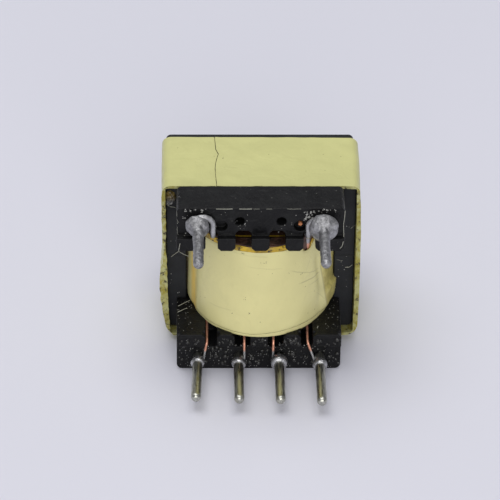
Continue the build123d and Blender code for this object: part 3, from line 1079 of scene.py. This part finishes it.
class TRANSFORMER_OT_pins(bpy.types.Operator):
    """Makes the six pins, slightly uneven under their tin"""

    bl_idname = "transformer.pins"
    bl_label = "Tin the pins"

    def execute(self, context):
        look = context.scene.transformer_metal
        bright = pin_finish(look.pin_colour, 0.31)
        coated = solder_finish("coated_pin", shade(look.solder_colour, 0.9), 0.42)
        for row, columns, material, rough, tin in (
            ("upper", UPPER_COLUMNS, coated, 0.022, 0.012),
            ("lower", LOWER_COLUMNS, bright, 0.006, 0.004),
        ):
            for column in columns:
                name = f"pin_{row}_{column}"
                low, high = box_mm(name)
                radius = (high.x - low.x) / 2 + tin
                start = low.y + 0.10
                profile = [(start + along, r) for along, r in (*PIN_TIP, (0.28, radius))]
                body = int((RAIL_FACE - start - 0.34) / 0.12)
                profile += [(start + 0.34 + k * 0.12, radius) for k in range(body)]
                profile += [(RAIL_FACE - 0.04, PIN_ROOT), (high.y, PIN_ROOT)]
                rings = turned_rings((low + high) / 2, profile, 28, rough, column * 1.7)
                if name == "pin_lower_1":
                    for p in sum(rings, []):
                        p.x += 0.03 * min(0.0, p.y - 0.2)
                piece(f"{name}_tinned", skin_rings(rings), (material,), (name,))
        return {"FINISHED"}


def ball_rings(column, rough):
    """Rings of the solder ball on an upper pin, with a neck along the pin."""
    low, high = box_mm(f"solder_upper_{column}")
    centre = (low + high) / 2
    radius, half, middle = BALLS[column]
    front, rear = low.y - 0.02, RAIL_FACE - 0.04
    profile = [(front - 0.10, 0.350)]
    for k in range(23):
        y = front + (rear - front) * k / 22
        reach = min(1.0, abs(y - middle) / half)
        along = clamp((y - front) / (middle - half * 0.6 - front))
        neck = 0.352 + 0.16 * along ** 3 if y < middle else 0.42
        profile.append((y, max(radius * math.sqrt(1 - reach ** 2.2), neck)))
    profile.append((rear + 0.02, 0.33))
    rings = turned_rings(centre, profile, 44, rough, 30 + column)
    if column == 1:
        for p in sum(rings, []):
            way = Vector((p.x - centre.x, 0, p.z - centre.z)).normalized()
            toward = clamp(way.dot(Vector((-0.80, 0, 0.60))))
            p += way * 0.20 * toward ** 2 * clamp((p.y + 0.35) / 0.35)
    return rings


def collar_rings(column, rough):
    """Rings of the solder collar on a lower pin."""
    low, high = box_mm(f"solder_lower_{column}")
    radius, half, middle = (high.x - low.x) / 2, (high.y - low.y) / 2, (low.y + high.y) / 2
    profile = [(middle - half * 1.15, 0.345)]
    for k in range(13):
        a = math.pi * k / 12
        profile.append((middle - half * math.cos(a), 0.33 + (radius - 0.33) * math.sin(a) ** 0.8))
    profile.append((middle + half * 1.05, 0.32))
    return turned_rings((low + high) / 2, profile, 36, rough, 40 + column)


class TRANSFORMER_OT_solder(bpy.types.Operator):
    """Makes the lumpy balls of the upper row and the collars of the lower row"""

    bl_idname = "transformer.solder"
    bl_label = "Run the solder"

    def execute(self, context):
        look = context.scene.transformer_metal
        dull = solder_finish("dull_solder", look.solder_colour, 0.50)
        shiny = solder_finish("shiny_solder", shade(look.solder_colour, 1.25), 0.26, 0.35)
        rough = look.lump / MM
        for column in UPPER_COLUMNS:
            name = f"solder_upper_{column}"
            skin = skin_rings(ball_rings(column, rough * 1.2))
            piece(f"{name}_joint", skin, (dull,), (name,))
        for column in LOWER_COLUMNS:
            name = f"solder_lower_{column}"
            skin = skin_rings(collar_rings(column, rough * 0.7))
            piece(f"{name}_collar", skin, (shiny,), (name,))
        return {"FINISHED"}


# Thick leads: side they turn to, X of the slot, degrees round the pin, distance of the turn's
# middle from the pin, share by which the turn tightens, and Y and Z where the lead starts
HOOKS = {
    1: (1, -3.20, 235, 0.20, 0.06, SLOT_FLOOR - 0.22, COIL_HIGH.z),
    4: (-1, 3.20, 215, 0.0, 0.55, 1.98, 2.25),
}
# Fine leads: side they turn to, X of the slot, turns round the pin, and Y where the lead starts
WRAPS = {
    1: (1, -3.57, 0.75, SLOT_FLOOR - 0.35), 2: (1, -1.00, 1.25, SLOT_FLOOR - 1.20),
    3: (-1, 1.00, 0.50, SLOT_FLOOR - 1.20), 4: (-1, 3.35, 1.75, SLOT_FLOOR - 0.35),
}


def hook_route(column):
    """Route of a thick lead: up through its slot, then round its pin."""
    side, slot_x, turn, aside, tighten, start_y, start_z = HOOKS[column]
    centre = Vector((pin_x(column) + side * aside, RAIL_FACE - 0.20, PIN_ROW - 0.10))
    radius = abs(slot_x - centre.x)
    corners = [
        (slot_x, start_y, start_z), (slot_x, start_y, 3.88),
        (slot_x, centre.y, 4.50), (slot_x, centre.y, centre.z),
    ]
    route = eased(corners, 0.34)
    steps = int(turn / 6)
    for k in range(1, steps + 1):
        t = k / steps
        a = math.radians(turn * t)
        reach = radius * (1 - tighten * min(1.0, 2.4 * t))
        forward = -0.22 * min(1.0, 2 * t)
        turned = Vector((side * reach * math.cos(a), forward, 0.93 * reach * math.sin(a)))
        route.append(centre + turned)
    return route


def wrap_route(column):
    """Route of a fine lead: out of its slot, past the tooth and round its pin."""
    side, slot_x, turns, start_y = WRAPS[column]
    radius, pitch, edge_z = 0.41, 0.28, -4.40
    axis = Vector((pin_x(column), RAIL_FACE - 0.20, -PIN_ROW))
    reach = Vector((axis.x - slot_x, 0, axis.z - edge_z))
    lean = math.atan2(reach.x, -reach.z) + side * math.asin(radius / reach.length)
    out = Vector((side * math.cos(lean), 0, side * math.sin(lean)))
    contact = axis + out * radius
    run = math.sqrt(reach.length ** 2 - radius ** 2)
    bend = Vector((slot_x, contact.y + pitch / (2 * math.pi * radius) * run, edge_z))
    corners = [(slot_x, start_y, COIL_LOW.z), (slot_x, start_y, edge_z + 0.5), bend, contact]
    route = eased(corners, 0.28, 0.04)
    across = Vector((math.sin(lean), 0, -math.cos(lean)))
    middle = sum(c.y for c in box_mm(f"solder_lower_{column}")) / 2
    steps = int(turns * 28)
    for k in range(1, steps + 1):
        a = 2 * math.pi * turns * k / steps
        sunk = clamp(a / 1.2)
        sunk = sunk * sunk * (3 - 2 * sunk)
        climb = Vector((0, (middle - axis.y) * sunk, 0))
        turned = (out * math.cos(a) + across * math.sin(a)) * (radius - 0.03 * sunk)
        route.append(axis + climb + turned)
    return route


class TRANSFORMER_OT_leads(bpy.types.Operator):
    """Makes the thick hooked leads and the fine wrapped ones"""

    bl_idname = "transformer.leads"
    bl_label = "Lead out the wires"

    def execute(self, context):
        look = context.scene.transformer_metal
        wire, tin = look.copper_colour, look.solder_colour
        tinned = copper_finish("tinned_lead", wire, shade(tin, 1.1), 2.80, 2.95)
        copper = copper_finish("enamelled_lead", wire, tin, -4.95, -5.15)
        for column in UPPER_COLUMNS:
            name = f"lead_upper_{column}"
            skin = tube(hook_route(column), uneven(0.185, 0.012, 9, column, 5), 16)
            piece(f"{name}_hook", skin, (tinned,), (name,))
        for column in LOWER_COLUMNS:
            name = f"lead_lower_{column}"
            skin = tube(wrap_route(column), uneven(0.088, 0.008, 12, column, 7), 12)
            piece(f"{name}_wire", skin, (copper,), (name,))
        return {"FINISHED"}


# Varnish threads, painted edge highlights and dust

# Pale threads along the upper rail's top edge that are painted highlights, from X to X
RAIL_EDGE_HIGHLIGHTS = ((-3.00, -1.90), (-1.45, -0.60), (-0.50, -0.10), (0.35, 0.75), (1.75, 2.70))
# Numbers of the thinner threads: those at the rail's left end and along its top edge, the latter
# painted highlights
FINE_THREADS = (0, 1, 2, 13, 14, 15, 16, 17)


def blister(middle, half_x, half_z):
    """Skin of a puckered blister of dried varnish on the core's front."""
    rings = []
    for step in range(9):
        share = 1 - step / 9
        bumps = []
        for k in range(28):
            a = 2 * math.pi * k / 28
            edge = share * (1 + 0.12 * wobble((math.cos(a), math.sin(a), 0), 0.8, 31))
            place = middle + Vector((half_x * edge * math.cos(a), 0, half_z * edge * math.sin(a)))
            lift = 0.13 * (1 - share ** 4) * (1 + 0.7 * wobble(place, 0.22, 33))
            lift += 0.09 * hill(share - 0.8, 0.16)
            place.y -= max(0.0, lift) if step else -0.02
            bumps.append(place)
        rings.append(bumps)
    return skin_rings(rings)


class TRANSFORMER_OT_threads(bpy.types.Operator):
    """Strings dried varnish threads where the photo shows them, and pale threads along the upper
    rail's top and right edges that are painted highlights
    """

    bl_idname = "transformer.threads"
    bl_label = "String the varnish threads and edge highlights"

    def execute(self, context):
        width = context.scene.transformer_dust.thread_width / MM
        leg, foot = CORE_LOW.y - 0.05, -0.03
        top, rail, end = RAIL_HIGH.z - 0.05, RAIL_FACE - 0.02, RAIL_HIGH.x - 0.02
        routes = [
            [(-end, rail, 6.45), (-end, rail, 6.25), (-end + 0.02, rail, 6.05)],
            [(-end + 0.02, rail, 5.80), (-end + 0.10, rail, 5.60), (-end + 0.04, rail, 5.45)],
            [(-end + 0.04, rail, 5.20), (-end + 0.02, rail, 4.90), (-end + 0.08, rail, 4.55)],
            [(-5.10, rail, 4.52), (-5.42, -0.02, 4.15), (-5.50, -0.02, 3.60), (-5.50, leg, 0.42)],
            [(-5.50, leg, 0.39), (-5.75, leg, 0.20), (-6.03, leg, -0.09)],
            [(-5.50, leg, 0.39), (-5.2, leg - 0.3, 0.35), (-4.82, leg - 0.55, 0.35)],
            [(-5.56, 3.29, -3.44), (-5.14, 3.55, -3.36), (-4.74, 3.90, -3.38)],
            [(-5.60, 2.60, -3.46), (-5.30, 2.75, -3.40), (-4.95, 3.05, -3.42)],
            [
                (-6.36, leg, 4.30), (-6.10, leg - 0.08, 4.16),
                (-5.80, leg - 0.05, 4.10), (-5.68, leg, 4.00),
            ],
            # Down the rail's right end and onto its foot: a painted highlight along the edge
            [
                (end, rail, 6.5), (end - 0.02, rail, 6.0),
                (end - 0.08, rail, 5.37), (end - 0.04, rail, 4.6),
            ],
            [
                (end - 0.04, rail, 4.6), (end - 0.08, foot, 4.3),
                (end - 0.16, foot, 3.9), (end - 0.3, foot, 3.75),
            ],
            *(
                [(low, rail, top), ((low + high) / 2, rail, top - 0.01), (high, rail, top)]
                for low, high in RAIL_EDGE_HIGHLIGHTS
            ),
            [(6.30, leg, 2.30), (6.52, leg, 2.52), (6.66, leg - 0.3, 2.80)],
            [(5.40, leg, -0.32), (5.60, leg, -0.36), (5.82, leg, -0.43)],
            [(6.00, leg, -0.97), (6.28, leg, -0.98), (6.50, leg, -0.76)],
            [(4.07, 0.9, -3.40), (3.89, 0.60, -3.70), (3.86, rail, -4.0), (3.98, rail, -4.4)],
        ]
        tubes = []
        for number, corners in enumerate(routes):
            radius = width / 2 * (0.45 if number in FINE_THREADS else 1.0)
            thin = uneven(0.75 * radius, 0.35 * radius, 6, number, 13)
            tubes.append(tube(eased(corners, 0.15), thin, 6))
        # One pale finish for the varnish threads and the painted edge highlights
        material = varnish_finish("dried_varnish_and_highlight", (0.50, 0.50, 0.42))
        piece("varnish_threads_and_highlights", joined(tubes), (material,))

        skin = blister(Vector((-6.09, CORE_LOW.y + 0.01, 4.80)), 0.40, 0.62)
        piece("varnish_pool", skin, (blister_finish(),))

        beads = []
        for x in (CORE_LOW.x + LEG_WIDTH + 0.09, CORE_HIGH.x - LEG_WIDTH - 0.11):
            corners = [(x, CORE_LOW.y + 0.35 + 0.1 * math.sin(z), z) for z in range(-3, 4)]
            beads.append(tube(eased(corners, 0.3), uneven(0.10, 0.02, 9, x, 17), 10))
        material = glue_finish("varnish_bead", BEAD_GLUE)
        piece("varnish_beads", joined(beads), (material,))
        return {"FINISHED"}


# Varnish crumbs on the rails' front, the first twelve round the upper joints partly crumbs and
# partly painted glints: X, Z and width
CRUMBS_AND_GLINTS = (
    (2.92, 6.51, 0.22), (3.15, 6.39, 0.30), (3.32, 6.10, 0.30), (3.05, 5.90, 0.26),
    (3.49, 6.48, 0.20), (4.02, 6.55, 0.16), (4.42, 6.58, 0.22), (4.82, 6.58, 0.18),
    (-4.97, 6.55, 0.20), (-4.54, 6.56, 0.24), (-4.07, 6.58, 0.26), (-3.80, 6.56, 0.16),
    (-5.05, 6.14, 0.16), (-1.79, 5.66, 0.08), (-1.32, 5.29, 0.10), (-1.15, 5.49, 0.10),
    (1.58, -4.45, 0.12), (1.58, -4.79, 0.12), (1.59, -5.09, 0.12), (-4.9, -5.0, 0.14),
)

# Specks of dirt on the coil's film: X, Z, width and how many lie together
SPOTS = (
    (0.34, 2.31, 0.10, 3), (0.14, 2.27, 0.08, 4), (0.51, 1.79, 0.07, 2), (0.85, 1.43, 0.12, 1),
    (2.81, 0.85, 0.12, 2), (1.93, 1.22, 0.08, 2), (-1.06, -0.61, 0.08, 3), (-1.06, -0.42, 0.06, 2),
    (-1.96, -1.88, 0.10, 2), (-0.72, -1.70, 0.10, 3), (-2.43, 2.38, 0.07, 1), (2.42, 1.76, 0.07, 2),
    (3.52, 1.72, 0.07, 1), (-3.41, 1.75, 0.07, 1), (3.38, -2.47, 0.08, 2), (-4.02, -1.88, 0.07, 1),
    (-0.14, 1.37, 0.06, 1), (1.24, 2.78, 0.07, 1), (-1.20, 2.88, 0.11, 5),
)
# The lower rail's teeth, from X to X
TEETH = ((-5.5, -3.8), (-2.8, -1.76), (-0.5, 0.5), (1.76, 2.8), (3.8, 5.5))
# Rings of a varnish drop, as shares of its outline and of its height
DROP_RINGS = ((1.0, -0.04), (0.86, 0.12), (0.50, 0.24), (0.15, 0.28))


def flake(place, out, size, spin, dice):
    """Skin of one flat speck with an uneven outline."""
    side = out.orthogonal().normalized()
    corners = 6
    radii = [size * (0.25 + 0.25 * dice.random()) for _ in range(corners)]
    rim = ring(place, side, out.cross(side), radii, spin)
    faces = []
    for k in range(corners):
        a, b = 1 + k, 1 + (k + 1) % corners
        faces += [(0, a, b), (corners + 1, b, a)]
    return [place + out * size * 0.22, *rim, place - out * size * 0.1], faces


def drop(place, out, size, spin, dice):
    """Skin of one low drop of varnish with an uneven outline."""
    side = out.orthogonal().normalized()
    reach = [size * dice.uniform(0.35, 0.5) for _ in range(5)]
    radii = []
    for k in range(15):
        corner, t = k // 3, k % 3 / 3
        radii.append(reach[corner] * (1 - t) + reach[(corner + 1) % 5] * t)
    return skin_rings([
        ring(place + out * high * size, side, out.cross(side), [wide * r for r in radii], spin)
        for wide, high in DROP_RINGS
    ])


class TRANSFORMER_OT_dust(bpy.types.Operator):
    """Scatters pale specks over the rails and the coil's foot, those round the upper joints partly
    painted glints
    """

    bl_idname = "transformer.dust"
    bl_label = "Scatter the dust"

    def execute(self, context):
        look = context.scene.transformer_dust
        dice = random.Random(11)
        size = look.flake_size / MM

        def thrown(place, out, largest, least, most):
            """A speck between two shares of the largest width, turned at random."""
            width = largest * dice.uniform(least, most)
            return flake(place, out, width, dice.uniform(0, 6), dice)

        flakes = []
        for _ in range(look.flakes):
            pick = dice.random()
            x = dice.uniform(RAIL_LOW.x + 0.1, RAIL_HIGH.x - 0.1)
            if pick < 0.55:
                place, out = Vector((x, RAIL_FACE, dice.uniform(-6.55, -4.6))), FRONT
            elif pick < 0.60:
                place, out = Vector((x, RAIL_FACE, dice.uniform(4.6, 6.6))), FRONT
            elif pick < 0.84:
                x = dice.choice((-1, 1)) * dice.uniform(4.6, 5.6)
                place, out = Vector((x, dice.uniform(0.5, 4.2), -3.5)), UP
            elif pick < 0.91:
                place, out = Vector((x, dice.uniform(0.5, 3.0), RAIL_HIGH.z - 0.03)), UP
            else:
                x = dice.choice((-1, 1)) * dice.uniform(5.3, 6.2)
                place, out = Vector((x, CORE_LOW.y, dice.uniform(-3.2, 3.2))), FRONT
            flakes.append(thrown(place, out, size, 0.35, 1))
        # Crumbs, round the upper joints partly painted glints
        for x, z, width in CRUMBS_AND_GLINTS:
            for _ in range(4):
                aside = Vector((dice.uniform(-0.2, 0.2), 0, dice.uniform(-0.26, 0.07)))
                flakes.append(thrown(Vector((x, RAIL_FACE, z)) + aside, FRONT, width, 0.2, 0.85))
        dirt = []
        for x, z, width, count in SPOTS:
            spread = 0.12 if count > 1 else 0.0
            for _ in range(count):
                along, up = dice.uniform(-spread, spread), dice.uniform(-spread, spread) / 2
                dirt.append(thrown(*on_film(x + along, z + up), width, 0.5, 1))
        drops = []
        for number in range(150):
            if number % 3:
                x, z = dice.uniform(-5.4, 5.4), dice.uniform(-6.4, -4.6)
                if min(math.hypot(x - pin_x(c), z + PIN_ROW) for c in LOWER_COLUMNS) < 0.62:
                    continue
                place = Vector((x, RAIL_FACE, z))
            else:
                place = Vector((dice.uniform(*dice.choice(TEETH)), 0, dice.uniform(-4.35, -3.85)))
                aside = Vector((dice.uniform(-0.1, 0.1), 0, dice.uniform(-0.1, 0.1)))
                flakes.append(thrown(place + aside, FRONT, size, 0.35, 1))
            drops.append(drop(place, FRONT, dice.uniform(0.12, 0.42), dice.uniform(0, 6), dice))
        pale = varnish_finish("pale_dust_and_glints", (0.34, 0.34, 0.32))
        brown = varnish_finish("film_dirt", (0.16, 0.14, 0.08))
        piece("varnish_drops", joined(drops), (black_varnish_finish(),))
        piece("dust_flakes_and_glints", joined(flakes), (pale,))
        piece("film_specks", joined(dirt), (brown,))
        return {"FINISHED"}


# Stage

FLOOR_REACH = 1.2
# Lamps: place in metres, size, power in watts and colour
LAMPS = {
    "overhead": ((-0.05, 0.06, 0.42), 0.40, 1.30, (1, 1, 1)),
    "front": ((0.02, -0.42, 0.18), 0.34, 1.15, (1, 0.99, 0.97)),
}
LAMP_AIM = Vector((0, 0.006, 0))
# The camera's elevation, yaw and roll in degrees, and the point it looks at in millimetres
CAMERA_ANGLES = (34.98, -1.45, 0.816)
CAMERA_TARGET = Vector((-0.596, 4.5, 0.457))


def soft_lamp(name, place, size, power, colour):
    """Square area lamp that faces the part."""
    data = bpy.data.lights.new(name, "AREA")
    data.size, data.energy, data.color = size, power, colour
    obj = bpy.data.objects.new(name, data)
    obj.location = place
    obj.rotation_euler = (LAMP_AIM - obj.location).to_track_quat("-Z", "Y").to_euler()
    bpy.context.scene.collection.objects.link(obj)


class TRANSFORMER_OT_stage(bpy.types.Operator):
    """Sets out the floor, the lamps and the camera"""

    bl_idname = "transformer.stage"
    bl_label = "Set the stage"

    def execute(self, context):
        scene = context.scene
        look = scene.transformer_stage
        mesh = bpy.data.meshes.new("floor")
        sides = ((-1, -1), (1, -1), (1, 1), (-1, 1))
        corners = [(x * FLOOR_REACH, y * FLOOR_REACH, CAD_BOX[0].z) for x, y in sides]
        mesh.from_pydata(corners, [], [(0, 1, 2, 3)])
        mesh.materials.append(floor_finish(look.floor_colour))
        floor = bpy.data.objects.new("floor", mesh)
        scene.collection.objects.link(floor)

        world = bpy.data.worlds.new("studio")
        world.use_nodes = True
        scene.world = world
        background = world.node_tree.nodes["Background"]
        background.inputs["Color"].default_value = (0.93, 0.94, 1.0, 1)
        background.inputs["Strength"].default_value = 0.30
        for name, lamp in LAMPS.items():
            soft_lamp(name, *lamp)

        elevation, yaw, roll = (math.radians(a) for a in CAMERA_ANGLES)
        level = math.cos(elevation)
        back = Vector((math.sin(yaw) * level, -math.cos(yaw) * level, math.sin(elevation)))
        right = Vector((math.cos(yaw), math.sin(yaw), 0))
        up = back.cross(right)
        turned_right = right * math.cos(roll) + up * math.sin(roll)
        turned_up = up * math.cos(roll) - right * math.sin(roll)
        data = bpy.data.cameras.new("camera")
        data.lens, data.sensor_width = look.lens, 36
        data.clip_start, data.clip_end = 0.01, 10
        camera = bpy.data.objects.new("camera", data)
        matrix = Matrix((turned_right, turned_up, back)).transposed().to_4x4()
        matrix.translation = CAMERA_TARGET * MM + back * look.distance
        camera.matrix_world = matrix
        scene.collection.objects.link(camera)
        scene.camera = camera
        scene.view_settings.view_transform = "Standard"
        return {"FINISHED"}


# Panel and registration

class TRANSFORMER_PT_panel(bpy.types.Panel):
    """Lists the settings and the steps"""

    bl_idname = "TRANSFORMER_PT_panel"
    bl_label = "Transformer"
    bl_space_type = "VIEW_3D"
    bl_region_type = "UI"
    bl_category = "Transformer"

    def draw(self, context):
        for title, group in GROUPS.items():
            box = self.layout.box()
            box.label(text=title.capitalize())
            settings = getattr(context.scene, f"transformer_{title}")
            for key in group.__annotations__:
                box.prop(settings, key)
        for step in STEPS:
            self.layout.operator(step.bl_idname)


GROUPS = {
    "tape": TapeSettings,
    "black": BlackSettings,
    "metal": MetalSettings,
    "dust": DustSettings,
    "stage": StageSettings,
}
STEPS = (
    TRANSFORMER_OT_core,
    TRANSFORMER_OT_core_tape,
    TRANSFORMER_OT_bobbin,
    TRANSFORMER_OT_coil,
    TRANSFORMER_OT_pins,
    TRANSFORMER_OT_solder,
    TRANSFORMER_OT_leads,
    TRANSFORMER_OT_threads,
    TRANSFORMER_OT_dust,
    TRANSFORMER_OT_stage,
)


def register():
    """Makes the settings, the steps and the panel known to Blender."""
    for title, group in GROUPS.items():
        bpy.utils.register_class(group)
        setattr(bpy.types.Scene, f"transformer_{title}", bpy.props.PointerProperty(type=group))
    for step in STEPS:
        bpy.utils.register_class(step)
    bpy.utils.register_class(TRANSFORMER_PT_panel)


def unregister():
    """Takes them away again."""
    bpy.utils.unregister_class(TRANSFORMER_PT_panel)
    for step in reversed(STEPS):
        bpy.utils.unregister_class(step)
    for title, group in GROUPS.items():
        delattr(bpy.types.Scene, f"transformer_{title}")
        bpy.utils.unregister_class(group)


def main():
    """Runs every step."""
    register()
    for step in STEPS:
        group, name = step.bl_idname.split(".")
        getattr(getattr(bpy.ops, group), name)()


if __name__ == "__main__":
    main()
